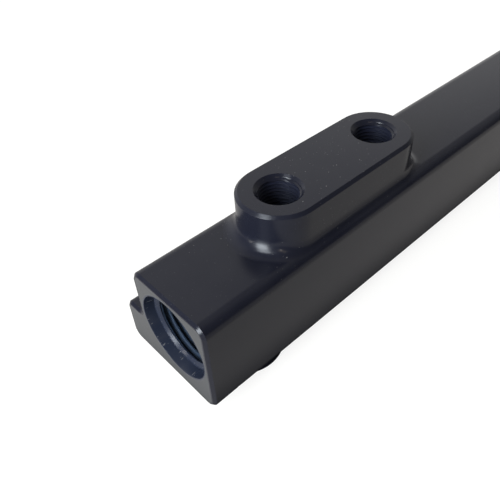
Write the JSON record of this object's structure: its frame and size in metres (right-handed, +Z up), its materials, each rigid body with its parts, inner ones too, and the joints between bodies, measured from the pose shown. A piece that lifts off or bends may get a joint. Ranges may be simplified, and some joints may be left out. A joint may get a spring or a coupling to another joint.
{
  "type": "fuel rail",
  "caption": "Straight billet fuel rail with a through gallery, threaded O-ring end ports, an oblong boss with threaded sensor ports on top and injector pockets underneath.",
  "frame": {"origin": "centre of the rail's box in plan, at the height of the injector boss faces it stands on", "axes": "+X along the rail away from the end with the sensor port boss, +Y towards the side with the ledge, +Z up towards the sensor ports"},
  "size_m": [0.3722, 0.0304, 0.0399],
  "materials": {
    "anodised_aluminium": "satin black anodised"
  },
  "bodies": {
    "root": {"rail_body": "anodised_aluminium"}
  },
  "joints": []
}
